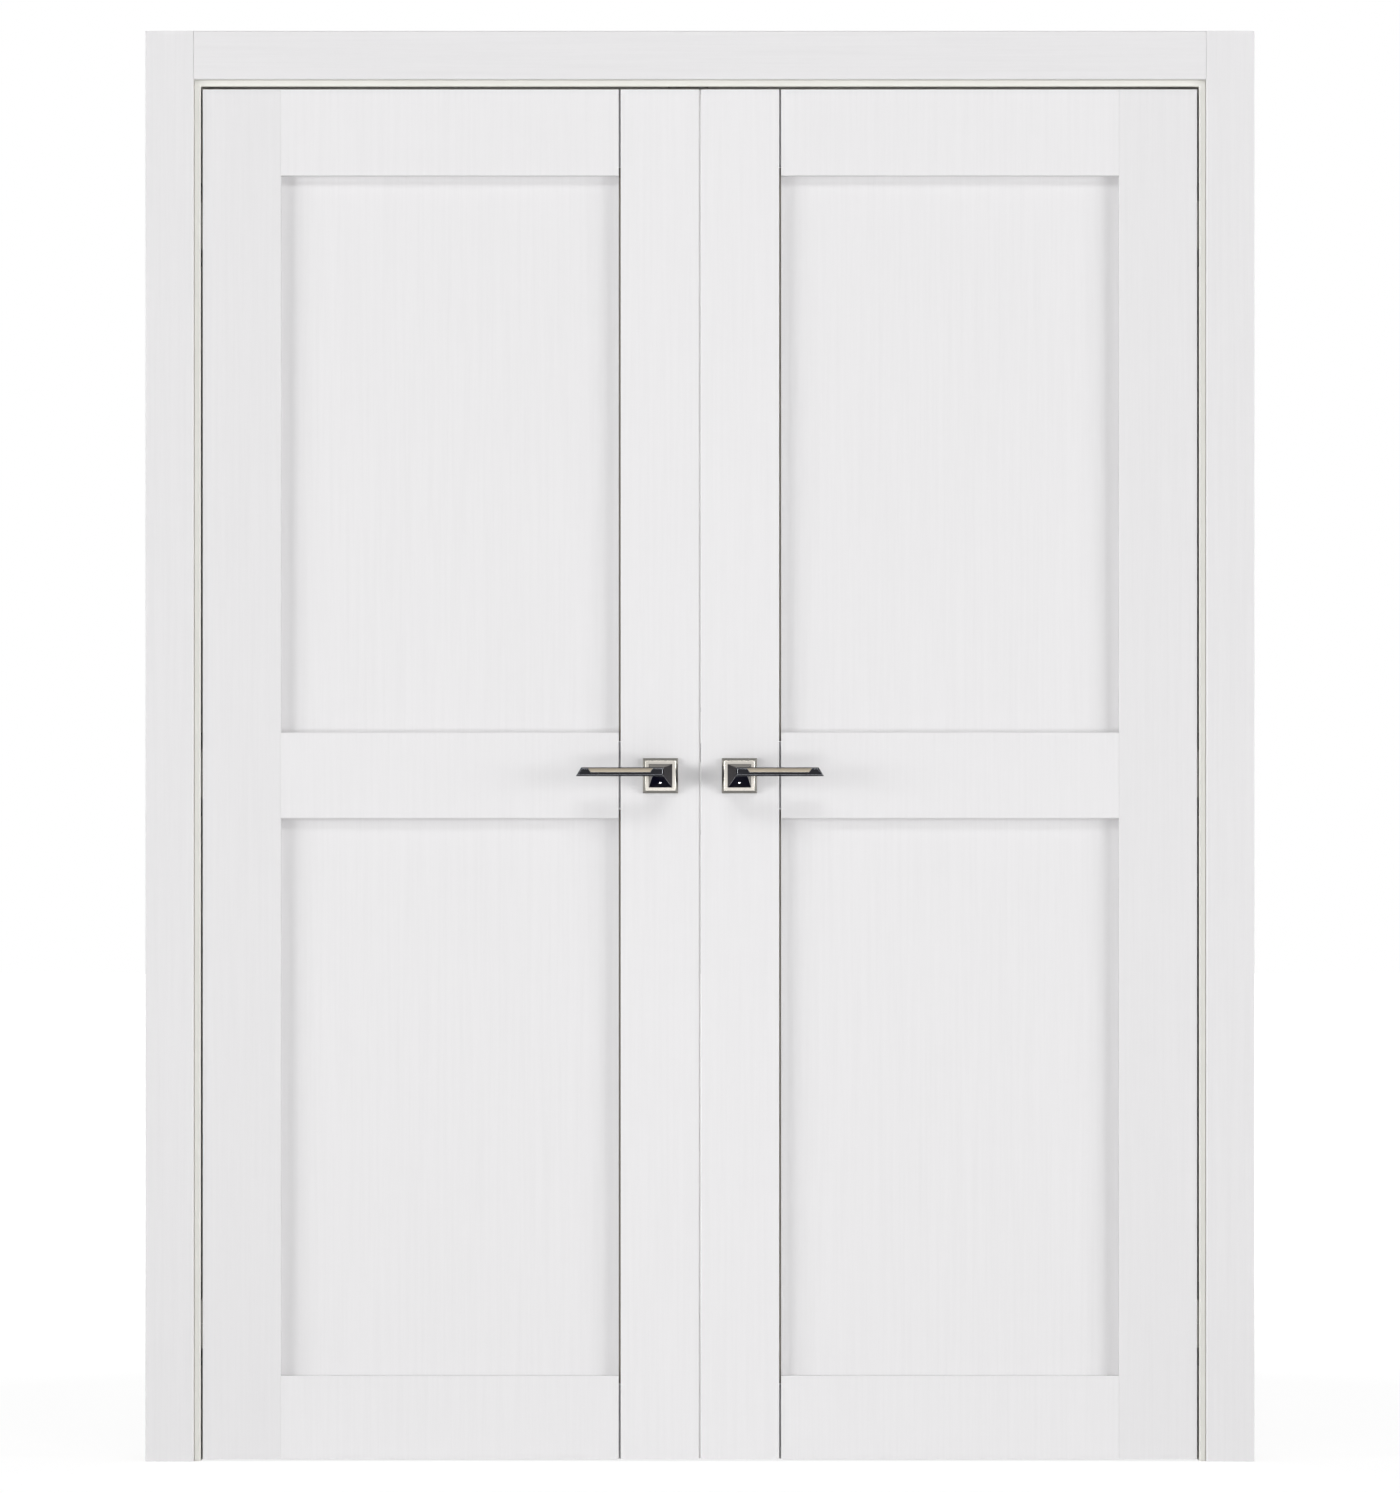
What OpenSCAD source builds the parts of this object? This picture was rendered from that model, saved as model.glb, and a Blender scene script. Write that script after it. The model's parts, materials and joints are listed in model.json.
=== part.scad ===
// Prehung double door: two shaker leaves with flat recessed panels, hung on concealed hinges in a
// rebated jamb frame with casings on both sides. X runs across the opening, Y runs from the front
// (pull side) to the back, Z is up. The origin is on the floor, midway between the two leaves,
// in the plane of their front faces.

/* [Leaves] */
// Width of one leaf
leaf_w = 736; // [600:1:1000]
// Height of a leaf
leaf_h = 2032; // [1900:1:2400]
// Thickness of a leaf
leaf_t = 40; // [36:1:50]
// Width of the stiles
stile_w = 116; // [100:1:150]
// Height of the top rail
top_rail_h = 128; // [90:1:200]
// Height of the middle rail
mid_rail_h = 127; // [90:1:200]
// Height of the bottom rail
bottom_rail_h = 124; // [90:1:250]
// Height of the lower panel's visible field
lower_panel_h = 827; // [600:1:1000]
// Thickness of the flat panels
panel_t = 12; // [10:1:18]
// Depth of the grooves that hold the panels and the rails' tenons
groove_d = 14; // [10:1:20]
// Shadow gap between the rails and the lock stile
lock_joint_gap = 3; // [0.8:0.1:4]
// Depth of the shadow groove that runs down each panel beside the lock stile
shadow_d = 4; // [1:0.1:4.5]
// Eased edge on the leaves' boards
board_ease = 0.5; // [0.3:0.1:1.5]

/* [Gaps] */
// Gap between the two leaves
meeting_gap = 3; // [2.5:0.1:5]
// Gap between a leaf and its jamb
side_gap = 3; // [2.5:0.1:5]
// Gap above the leaves
top_gap = 4.5; // [3:0.1:8]
// Gap below the leaves
floor_gap = 3; // [3:0.5:12]

/* [Frame] */
// Depth of the jambs, which is the wall's thickness
jamb_d = 115; // [105:1:200]
// Thickness of the jambs where the leaves sit
jamb_t = 46; // [46:1:60]
// Height of the stop that the leaves close against
stop_h = 12; // [10:1:16]
// Depth left for the seal between a leaf and the stop
seal_d = 4; // [3:0.5:6]
// Strip of the jamb's edge left showing beside the casing
reveal = 10; // [6:1:14]
// Width of the casings
casing_w = 72; // [60:1:110]
// Thickness of the casings
casing_t = 6; // [6:1:16]
// Length of the casings' tongues
tongue_l = 16; // [10:1:24]

/* [Hinges] */
// Height of a hinge's cup
hinge_h = 92; // [80:1:120]
// Height of the bottom hinge's middle above the leaf's foot
hinge_low_z = 200; // [150:1:300]
// Height of the top hinge's middle below the leaf's head
hinge_high_z = 200; // [150:1:300]

/* [Levers] */
// Side of the square rosette
rosette_w = 52; // [48:1:60]
// Thickness of the rosette
rosette_t = 8; // [6:0.5:10]
// Length of the lever from the spindle's axis to its tip
lever_l = 125; // [105:1:140]
// Height of the lever's bar
lever_bar_h = 13; // [11:0.5:18]
// How far the lever's face stands out from the leaf
lever_reach = 54; // [46:1:65]
// Distance from the leaf's edge to the spindle's axis
backset = 57; // [50:1:64]
// Height of the spindle's axis above the floor
spindle_z = 1017; // [950:1:1070]
// Side of the square spindle
spindle_w = 8; // [7:0.5:9]

/* [Hidden] */
$fn = 48;
// Overrun of every cut
over = 1;
// Side clearance of panels, tenons and tongues in their grooves
groove_fit = 0.15;
// Clearance at the bottom of a groove
groove_end = 1;
// Radial running clearance of pins and rods
pin_fit = 0.08;
// Gap between solids that lie close but move apart
near_gap = 0.3;

// Leaf layout
rail_l = leaf_w - 2 * stile_w;
lower_panel_z = bottom_rail_h;
mid_rail_z = lower_panel_z + lower_panel_h;
upper_panel_z = mid_rail_z + mid_rail_h;
upper_panel_h = leaf_h - top_rail_h - upper_panel_z;
top_rail_z = leaf_h - top_rail_h;
groove_w = panel_t + 2 * groove_fit;
tongue_d = groove_d - groove_end;

// Frame layout
leaf_out_x = leaf_w + meeting_gap / 2;
jamb_in_x = leaf_out_x + side_gap;
jamb_out_x = jamb_in_x + jamb_t;
head_z = floor_gap + leaf_h + top_gap;
rebate_d = leaf_t + seal_d;
casing_in_x = jamb_in_x + reveal;
casing_out_x = casing_in_x + casing_w;
casing_in_z = head_z + reveal;
casing_top_z = casing_in_z + casing_w;
// Eased edge on the jambs' and casings' arrises
frame_ease = 1.2;
// Quirk cut in the jamb's edge beside the casing, which draws a thin shadow line
quirk_w = 1.2;
quirk_d = 2.5;
// Thickness of a casing's tongue, and its setback from the casing's inner edge
tongue_t = 6;
tongue_set = 25;

// Seal: a hollow bulb on a barbed foot
seal_w = 9;
seal_wall = 1;
barb_w = 3;
barb_l = 7;
barb_set = 3;

// Hinges: cups in the jamb and the leaf, joined by two arms that turn half as far as the leaf
hinge_mid_z = leaf_h / 2;
hinge_zs = [hinge_low_z, hinge_mid_z, leaf_h - hinge_high_z];
axis_y = -1;
pivot_depth = 9;
pivot_y = 24;
arm_l = 38;
arm_half_w = 2.5;
cup_y0 = 4.5;
cup_y1 = 32;
cup_wall = 2;
cup_plate = 10;
cup_depth = 32;
cup_floor = 1.5;
flange_t = 2;
flange_over_z = 16;
flange_over_y = 1.5;
hinge_pin_r = 2.5;
hinge_pin_l = 8;
arm_gap = 0.6;
screw_r = 2;
screw_head_r = 3.6;
screw_head_h = 1.6;
screw_l = 24;
screw_set = 8;

// Levers
rosette_bevel = 4;
neck_w = 35;
neck_collar = 2;
bar_rise = 6;
bar_t = 11;
bar_bevel = 4;
bar_tip = 16;
bar_root = 5;
neck_top_w = 17;
insert_h = 6;
insert_t = 0.8;
insert_l = 96;
insert_set = 11;
insert_slant = 4;
insert_drop = 1.2;
stem_r = 8;
set_screw_r = 1.6;
set_screw_l = 4;
set_screw_drop = 17;

// Latch in the right leaf's lock stile, and its strike in the left leaf's
case_w = 15;
case_d = 80;
case_h = 110;
case_wall = 1.2;
case_drop = 48;
face_w = 20;
face_h = 200;
face_t = 3;
bolt_w = 12;
bolt_h = 28;
bolt_l = 46;
bolt_out = 10;
bolt_rise = 34;
bolt_nose = 2;
bolt_fit = 0.3;
hub_r = 10;
strike_h = 80;
strike_hole_w = 14.6;
strike_hole_h = 31;
strike_hole_d = 14;

// Flush bolts in the left leaf's meeting edge
rod_r = 5;
rod_l = 170;
bolt_plate_h = 130;
bolt_plate_set = 40;
thumb_h = 22;
thumb_w = 8;
slot_w = 9;
slot_h = 46;
head_strike_l = 60;
head_strike_w = 20;
head_strike_t = 2;
head_strike_depth = 22;

door_white = "#ebebeb";
frame_white = "#e8e7e7";
seal_cream = "#e6e5df";
hinge_nickel = "#b9b7b1";
lever_chrome = "#6f7276";
nickel = "#c9c4b8";

// Placing: everything is modelled on the left side and mirrored for the right
module on_left() { children(); }
module on_right() { mirror([1, 0, 0]) children(); }
// Turns a placed piece of the leaf upside down about the leaf's middle height
module in_leaf_flip() { translate([0, 0, leaf_h + 2 * floor_gap]) mirror([0, 0, 1]) children(); }
module in_leaf() { translate([-leaf_out_x, 0, floor_gap]) children(); }
module on_back() { translate([0, leaf_t, 0]) mirror([0, 1, 0]) children(); }

// A rectangle with its corners eased
function eased(x0, y0, x1, y1, e) = [
    [x0 + e, y0], [x1 - e, y0], [x1, y0 + e], [x1, y1 - e],
    [x1 - e, y1], [x0 + e, y1], [x0, y1 - e], [x0, y0 + e],
];

// Leaf boards

// Section of a stile, with its panel groove in the edge at x = stile_w
module stile_section() {
    difference() {
        polygon(eased(0, 0, stile_w, leaf_t, board_ease));
        translate([stile_w - groove_d, leaf_t / 2 - groove_w / 2]) square([groove_d + over, groove_w]);
    }
}

module stile() { linear_extrude(leaf_h) stile_section(); }

module hinge_stile() {
    color(door_white) in_leaf() difference() {
        stile();
        for (z = hinge_zs) translate([0, 0, z]) cup_mortise();
    }
}

module lock_stile_blank() { translate([leaf_w, 0, 0]) mirror([1, 0, 0]) stile(); }

module spindle_bore() {
    translate([leaf_w - backset, -over, spindle_z - floor_gap]) rotate([-90, 0, 0])
        cylinder(r = stem_r + near_gap, h = leaf_t + 2 * over);
}

module left_lock_stile() {
    color(door_white) in_leaf() difference() {
        lock_stile_blank();
        spindle_bore();
        strike_mortise();
        flush_bolt_mortise();
        upside_down() flush_bolt_mortise();
    }
}

module right_lock_stile() {
    color(door_white) in_leaf() difference() {
        lock_stile_blank();
        spindle_bore();
        latch_mortise();
    }
}

// A rail with grooves along its long edges where a panel enters, and a stub tenon at each end
module rail(z, h, groove_below, groove_above) {
    body_l = rail_l - lock_joint_gap;
    color(door_white) in_leaf() translate([stile_w, 0, z]) difference() {
        union() {
            rotate([90, 0, 90]) linear_extrude(body_l) polygon(eased(0, 0, leaf_t, h, board_ease));
            translate([-tongue_d, leaf_t / 2 - panel_t / 2, groove_below ? groove_d : 0])
                cube([rail_l + 2 * tongue_d, panel_t,
                      h - (groove_below ? groove_d : 0) - (groove_above ? groove_d : 0)]);
        }
        if (groove_below) rail_groove(-over, body_l);
        if (groove_above) rail_groove(h - groove_d, body_l);
    }
}

module rail_groove(z, l) {
    translate([-over, leaf_t / 2 - groove_w / 2, z]) cube([l + 2 * over, groove_w, groove_d + over]);
}

// A flat panel whose edges sit in the grooves round its field, with a shadow groove beside the lock stile
module panel(z, h) {
    color(door_white) in_leaf()
        translate([stile_w - tongue_d, leaf_t / 2 - panel_t / 2, z - tongue_d]) difference() {
            cube([rail_l + 2 * tongue_d, panel_t, h + 2 * tongue_d]);
            for (y = [-over, panel_t - shadow_d])
                translate([tongue_d + rail_l - lock_joint_gap, y, -over])
                    cube([lock_joint_gap, shadow_d + over, h + 2 * tongue_d + 2 * over]);
        }
}

// Frame

// Section of a jamb in X and Y, its rebate's edge at x = 0 and its back at x = -jamb_t
module jamb_section() {
    slot_x = -(reveal + tongue_set + tongue_t) - groove_fit;
    slot_w_fit = tongue_t + 2 * groove_fit;
    slot_d = tongue_l + groove_end;
    difference() {
        polygon([
            [-jamb_t, 0], [-frame_ease, 0], [0, frame_ease], [0, rebate_d],
            [stop_h - frame_ease, rebate_d], [stop_h, rebate_d + frame_ease],
            [stop_h, jamb_d - frame_ease], [stop_h - frame_ease, jamb_d], [-jamb_t, jamb_d],
        ]);
        translate([slot_x, -over]) square([slot_w_fit, slot_d + over]);
        translate([slot_x + stop_h, jamb_d - slot_d]) square([slot_w_fit, slot_d + over]);
        translate([-reveal, -over]) square([quirk_w, quirk_d + over]);
        translate([barb_set, rebate_d - over]) square([barb_w + 2 * groove_fit, barb_l + groove_end + over]);
    }
}

// The region of the front view left of the mitre line through the frame's corner
module mitre_side() {
    rotate([90, 0, 0]) translate([0, 0, -jamb_d - over]) linear_extrude(jamb_d + 2 * over) polygon([
        [-jamb_out_x - over, 0], [0, 0], [0, head_z - jamb_in_x], [-jamb_out_x - over, head_z + jamb_t + over],
    ]);
}

// The region above both mitre lines
module mitre_head() {
    rotate([90, 0, 0]) translate([0, 0, -jamb_d - over]) linear_extrude(jamb_d + 2 * over) polygon([
        [0, head_z - jamb_in_x], [jamb_out_x + over, head_z + jamb_t + over],
        [-jamb_out_x - over, head_z + jamb_t + over],
    ]);
}

// A section swept up the side, and the same section swept along the head, both cut to the mitre
module side_member() {
    intersection() {
        translate([-jamb_in_x, 0, 0]) linear_extrude(head_z + jamb_t) children();
        mitre_side();
    }
}

module head_member() {
    intersection() {
        translate([-jamb_out_x, 0, head_z]) rotate([0, 90, 0]) linear_extrude(2 * jamb_out_x) children();
        mitre_head();
    }
}

module side_jamb() {
    color(frame_white) difference() {
        side_member() jamb_section();
        in_leaf() for (z = hinge_zs) translate([-side_gap, 0, z]) mirror([1, 0, 0]) cup_mortise();
    }
}

module head_jamb() {
    color(frame_white) difference() {
        head_member() jamb_section();
        head_strike_mortise();
    }
}

// Section of a casing: a board with a tongue at the back, its inner edge at x = 0
module casing_board() { polygon(eased(-casing_w, -casing_t, 0, 0, frame_ease)); }
module casing_tongue() {
    translate([-tongue_set - tongue_t, -casing_t / 2]) square([tongue_t, casing_t / 2 + tongue_l]);
}

// A side casing runs up past the head casing, but its tongue stops where the head's slot begins
module side_casing(inset = 0) {
    color(frame_white) translate([-casing_in_x + inset, 0, 0]) {
        linear_extrude(casing_top_z - inset) casing_board();
        linear_extrude(casing_in_z + tongue_set - inset) casing_tongue();
    }
}

// The head casing lies between the side casings
module head_casing(inset = 0) {
    half_l = casing_in_x - inset;
    color(frame_white) translate([-half_l, 0, casing_in_z - inset])
        rotate([0, 90, 0]) linear_extrude(2 * half_l) {
            casing_board();
            casing_tongue();
        }
}

module back_side() { translate([0, jamb_d, 0]) mirror([0, 1, 0]) children(); }

// Back casings start a stop's height nearer the opening, so they are wider by as much
module back_side_casing() { back_side() side_casing(stop_h); }
module back_head_casing() { back_side() head_casing(stop_h); }

// Section of the seal: a D-shaped bulb that lies on the rebate's step, with its barb in the slot
module seal_section() {
    bulb_d = seal_d - near_gap;
    translate([0, rebate_d - bulb_d]) difference() {
        hull_free_bulb(bulb_d);
        translate([seal_wall, seal_wall]) square([seal_w - bulb_d / 2 - seal_wall, bulb_d - 2 * seal_wall]);
    }
    translate([barb_set + groove_fit, rebate_d - seal_wall / 2]) square([barb_w, barb_l + seal_wall / 2]);
}

module hull_free_bulb(d) {
    square([seal_w - d / 2, d]);
    translate([seal_w - d / 2, d / 2]) circle(d = d);
}

module side_seal() { color(seal_cream) side_member() seal_section(); }
module head_seal() { color(seal_cream) head_member() seal_section(); }

// Hinges, modelled for a cup that opens towards -X in a board whose edge is at x = 0

module cup_outline(grow_y, grow_z, depth) {
    translate([0, cup_y0 - grow_y, -hinge_h / 2 - grow_z])
        cube([depth, cup_y1 - cup_y0 + 2 * grow_y, hinge_h + 2 * grow_z]);
}

module cup_mortise() {
    translate([-over, 0, 0]) {
        cup_outline(groove_fit, groove_fit, cup_depth + groove_end + over);
        cup_outline(flange_over_y + groove_fit, flange_over_z + groove_fit, flange_t + over);
    }
    for (s = [-1, 1]) hinge_screw_place(s) rotate([0, 90, 0]) cylinder(r = screw_r, h = screw_l + groove_end);
}

module hinge_screw_place(s) {
    translate([0, (cup_y0 + cup_y1) / 2, s * (hinge_h / 2 + screw_set)]) children();
}

module hinge_cup() {
    color(hinge_nickel) difference() {
        union() {
            cup_outline(0, 0, cup_depth);
            cup_outline(flange_over_y, flange_over_z, flange_t);
        }
        translate([-over, cup_y0 + cup_wall, -hinge_h / 2 + cup_plate])
            cube([cup_depth - cup_floor + over, cup_y1 - cup_y0 - 2 * cup_wall, hinge_h - 2 * cup_plate]);
        translate([pivot_depth, pivot_y, hinge_h / 2 - cup_plate - over])
            cylinder(r = hinge_pin_r + pin_fit, h = cup_plate + 2 * over);
        for (s = [-1, 1]) hinge_screw_place(s) rotate([0, 90, 0]) {
            translate([0, 0, -over]) cylinder(r = screw_r + pin_fit, h = flange_t + 2 * over);
            translate([0, 0, -over]) cylinder(r = screw_head_r + pin_fit, h = screw_head_h + over);
        }
    }
}

module hinge_screw() {
    color(hinge_nickel) rotate([0, 90, 0]) {
        cylinder(r = screw_head_r, h = screw_head_h);
        cylinder(r = screw_r, h = screw_l);
    }
}

// An arm in the upper half of the hinge, on a pin held in the cup's upper plate
module hinge_arm() {
    blade_h = hinge_h / 2 - cup_plate - 2 * arm_gap;
    color(hinge_nickel) translate([pivot_depth, pivot_y, arm_gap]) {
        cylinder(r = arm_half_w + cup_wall / 2, h = blade_h);
        translate([-arm_l, -arm_half_w, 0]) cube([arm_l, 2 * arm_half_w, blade_h]);
        translate([-arm_l, 0, 0]) cylinder(r = arm_half_w, h = blade_h);
        cylinder(r = hinge_pin_r, h = blade_h + arm_gap + hinge_pin_l);
    }
}

// Leaf cups are the jamb cups turned upside down, so the two arms lie one above the other
module at_jamb_hinges() {
    in_leaf() for (z = hinge_zs) translate([-side_gap, 0, z]) mirror([1, 0, 0]) children();
}
module at_leaf_hinges() { in_leaf() for (z = hinge_zs) translate([0, 0, z]) mirror([0, 0, 1]) children(); }
module cup_screws() { for (s = [-1, 1]) hinge_screw_place(s) hinge_screw(); }

// Lever furniture, modelled on the leaf's front face with the spindle's axis along Y

module at_lever() { in_leaf() translate([leaf_w - backset, 0, spindle_z - floor_gap]) children(); }

// A square block whose front edges are bevelled, standing out from y = 0 to y = -t
module bevelled_block(w, h, t, bevel) {
    hull() {
        translate([-w / 2, -t + bevel, -h / 2]) cube([w, t - bevel, h]);
        translate([-w / 2 + bevel, -t, -h / 2 + bevel]) cube([w - 2 * bevel, t, h - 2 * bevel]);
    }
}

module rosette() {
    color(nickel) at_lever() difference() {
        bevelled_block(rosette_w, rosette_w, rosette_t, rosette_bevel);
        rotate([90, 0, 0]) translate([0, 0, -over]) cylinder(r = stem_r + pin_fit, h = rosette_t + 2 * over);
    }
}

// The bar's outline in the front view: a slanted tip at the left and a square root at the right
module bar_outline(shrink) {
    polygon([
        [-lever_l + shrink, -lever_bar_h / 2 + shrink],
        [-lever_l + bar_tip / 2 + shrink, lever_bar_h / 2 - shrink],
        [bar_root - shrink, lever_bar_h / 2 - shrink],
        [bar_root - shrink, -lever_bar_h / 2 + shrink],
    ]);
}

module bar_slab(y, t, shrink) {
    translate([0, y, bar_rise]) rotate([90, 0, 0]) linear_extrude(t) bar_outline(shrink);
}

module lever() {
    bar_back = -lever_reach + bar_t;
    neck_base = -rosette_t - near_gap;
    color(lever_chrome) at_lever() difference() {
        union() {
            hull() {
                bar_slab(bar_back, bar_t - bar_bevel, 0);
                bar_slab(bar_back, bar_t, bar_bevel / 2);
            }
            hull() {
                translate([-neck_w / 2, neck_base - neck_collar, -neck_w / 2]) cube([neck_w, neck_collar, neck_w]);
                translate([bar_root - neck_top_w, bar_back - neck_collar, bar_rise - lever_bar_h / 2])
                    cube([neck_top_w, neck_collar, lever_bar_h]);
            }
            rotate([90, 0, 0]) translate([0, 0, -leaf_t / 4]) cylinder(r = stem_r, h = leaf_t / 4 - neck_base);
        }
        insert_pocket();
        rotate([90, 0, 0]) translate([0, 0, -leaf_t / 4 - over]) spindle_hole();
        set_screw_hole();
    }
}

module spindle_hole() {
    side = spindle_w + 2 * pin_fit;
    translate([-side / 2, -side / 2, 0]) cube([side, side, leaf_t / 4 + rosette_t + neck_collar + over]);
}

module set_screw_hole() {
    translate([0, -rosette_t - set_screw_drop, -neck_w / 2 - over])
        cylinder(r = set_screw_r, h = set_screw_l + neck_w / 4 + over);
}

// The satin inlay along the upper front of the bar
module insert_outline(shrink) {
    right = -insert_set;
    top = lever_bar_h / 2 - insert_drop;
    polygon([
        [right - insert_l + insert_slant + shrink, top - insert_h + shrink],
        [right - insert_l + shrink, top - shrink],
        [right - shrink, top - shrink],
        [right - insert_slant - shrink, top - insert_h + shrink],
    ]);
}

module insert_pocket() {
    translate([0, -lever_reach + insert_t, bar_rise]) rotate([90, 0, 0])
        linear_extrude(insert_t + over) insert_outline(0);
}

module lever_insert() {
    color(nickel) at_lever() translate([0, -lever_reach + insert_t, bar_rise]) rotate([90, 0, 0])
        linear_extrude(insert_t) insert_outline(groove_fit);
}

module spindle() {
    end = leaf_t / 4;
    color(hinge_nickel) at_lever() translate([-spindle_w / 2, end - leaf_t / 4 - rosette_t, -spindle_w / 2])
        cube([spindle_w, leaf_t + 2 * rosette_t, spindle_w]);
}

module both_faces() {
    children();
    on_back() children();
}

// Latch

module latch_mortise() {
    translate([leaf_w - case_d - face_t - groove_fit, leaf_t / 2 - case_w / 2 - groove_fit,
               spindle_z - floor_gap - case_drop - groove_fit])
        cube([case_d + face_t + over, case_w + 2 * groove_fit, case_h + 2 * groove_fit]);
    edge_plate_mortise(face_h, latch_mid_z());
}

function latch_mid_z() = spindle_z - floor_gap - case_drop + case_h / 2;

module edge_plate_mortise(h, z) {
    translate([leaf_w - face_t - groove_fit, leaf_t / 2 - face_w / 2 - groove_fit, z - h / 2 - groove_fit])
        cube([face_t + groove_fit + over, face_w + 2 * groove_fit, h + 2 * groove_fit]);
}

module edge_plate(h, z) {
    translate([leaf_w - face_t, leaf_t / 2 - face_w / 2, z - h / 2]) cube([face_t, face_w, h]);
}

// Height of the bolt's middle in the leaf
bolt_z = spindle_z - floor_gap + bolt_rise;

module latch_case() {
    color(hinge_nickel) in_leaf() difference() {
        translate([leaf_w - face_t - case_d, leaf_t / 2 - case_w / 2, spindle_z - floor_gap - case_drop])
            cube([case_d, case_w, case_h]);
        translate([leaf_w - face_t - case_d + case_wall, leaf_t / 2 - case_w / 2 + case_wall,
                   spindle_z - floor_gap - case_drop + case_wall])
            cube([case_d - 2 * case_wall, case_w - 2 * case_wall, case_h - 2 * case_wall]);
        bolt_passage();
        spindle_bore();
    }
}

module bolt_passage() {
    translate([leaf_w - face_t - case_wall - over, leaf_t / 2 - bolt_w / 2 - bolt_fit, bolt_z - bolt_h / 2 - bolt_fit])
        cube([face_t + case_wall + 2 * over, bolt_w + 2 * bolt_fit, bolt_h + 2 * bolt_fit]);
}

module latch_faceplate() {
    color(nickel) in_leaf() difference() {
        edge_plate(face_h, latch_mid_z());
        bolt_passage();
    }
}

// The follower: a hub round the spindle, inside the case
module latch_follower() {
    hub_t = case_w - 2 * case_wall - 2 * near_gap;
    side = spindle_w + 2 * pin_fit;
    color(hinge_nickel) at_lever() translate([0, leaf_t / 2 + hub_t / 2, 0]) rotate([90, 0, 0]) difference() {
        cylinder(r = hub_r, h = hub_t);
        translate([-side / 2, -side / 2, -over]) cube([side, side, hub_t + 2 * over]);
    }
}

// The bolt rests thrown into the strike and is drawn back into the case
module latch_bolt() {
    color(nickel) in_leaf() translate([leaf_w + bolt_out - bolt_l, leaf_t / 2 - bolt_w / 2, bolt_z - bolt_h / 2])
        linear_extrude(bolt_h) polygon([
            [0, 0], [bolt_l, 0], [bolt_l, bolt_nose], [bolt_l - bolt_out, bolt_w], [0, bolt_w],
        ]);
}

module strike_hole(d) {
    translate([leaf_w - d, leaf_t / 2 - strike_hole_w / 2, bolt_z - strike_hole_h / 2])
        cube([d + over, strike_hole_w, strike_hole_h]);
}

module strike_mortise() {
    edge_plate_mortise(strike_h, bolt_z);
    strike_hole(face_t + strike_hole_d);
}

module strike_plate() {
    color(nickel) in_leaf() difference() {
        edge_plate(strike_h, bolt_z);
        strike_hole(face_t + over);
    }
}

// Flush bolts: a rod in a bore down from the leaf's head, with a thumb piece behind the edge plate
module upside_down() { translate([0, 0, leaf_h]) mirror([0, 0, 1]) children(); }

rod_x = leaf_w - face_t - rod_r - thumb_w;
bolt_plate_z = leaf_h - bolt_plate_set - bolt_plate_h / 2;

module flush_bolt_mortise() {
    edge_plate_mortise(bolt_plate_h, bolt_plate_z);
    translate([rod_x, leaf_t / 2, leaf_h - rod_l - groove_end])
        cylinder(r = rod_r + pin_fit, h = rod_l + groove_end + over);
    translate([rod_x, leaf_t / 2 - slot_w / 2, bolt_plate_z - slot_h / 2])
        cube([leaf_w - rod_x, slot_w, slot_h]);
}

module flush_bolt_plate() {
    color(nickel) in_leaf() difference() {
        edge_plate(bolt_plate_h, bolt_plate_z);
        translate([leaf_w - face_t - over, leaf_t / 2 - slot_w / 2, bolt_plate_z - slot_h / 2])
            cube([face_t + 2 * over, slot_w, slot_h]);
    }
}

module flush_bolt() {
    color(nickel) in_leaf() {
        translate([rod_x, leaf_t / 2, leaf_h - rod_l]) cylinder(r = rod_r, h = rod_l - near_gap);
        translate([rod_x, leaf_t / 2 - thumb_w / 2, bolt_plate_z - slot_h / 2 + over])
            cube([leaf_w - rod_x - near_gap, thumb_w, thumb_h]);
    }
}

// The head jamb's strike for the upper flush bolt
module at_head_strike() { translate([rod_x - leaf_out_x, leaf_t / 2, head_z]) children(); }

module head_strike_mortise() {
    at_head_strike() {
        translate([-head_strike_l / 2 - groove_fit, -head_strike_w / 2 - groove_fit, -over])
            cube([head_strike_l + 2 * groove_fit, head_strike_w + 2 * groove_fit, head_strike_t + over]);
        cylinder(r = rod_r + 2 * near_gap, h = head_strike_depth);
    }
}

module head_strike_plate() {
    color(nickel) at_head_strike() difference() {
        translate([-head_strike_l / 2, -head_strike_w / 2, 0]) cube([head_strike_l, head_strike_w, head_strike_t]);
        translate([0, 0, -over]) cylinder(r = rod_r + 2 * near_gap, h = head_strike_t + 2 * over);
    }
}

on_left() side_jamb();  // left_jamb
on_right() side_jamb();  // right_jamb
head_jamb();
on_left() side_casing();  // front_casing_left
on_right() side_casing();  // front_casing_right
head_casing();  // front_casing_head
on_left() back_side_casing();  // back_casing_left
on_right() back_side_casing();  // back_casing_right
back_head_casing();  // back_casing_head
on_left() side_seal();  // left_seal
on_right() side_seal();  // right_seal
head_seal();
on_left() at_jamb_hinges() hinge_cup();  // left_jamb_hinge_cups
on_right() at_jamb_hinges() hinge_cup();  // right_jamb_hinge_cups
on_left() at_jamb_hinges() cup_screws();  // left_jamb_hinge_screws
on_right() at_jamb_hinges() cup_screws();  // right_jamb_hinge_screws
on_left() at_jamb_hinges() hinge_arm();  // left_jamb_hinge_arms
on_right() at_jamb_hinges() hinge_arm();  // right_jamb_hinge_arms
on_left() at_leaf_hinges() hinge_arm();  // left_leaf_hinge_arms
on_right() at_leaf_hinges() hinge_arm();  // right_leaf_hinge_arms
on_left() at_leaf_hinges() hinge_cup();  // left_leaf_hinge_cups
on_right() at_leaf_hinges() hinge_cup();  // right_leaf_hinge_cups
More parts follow.
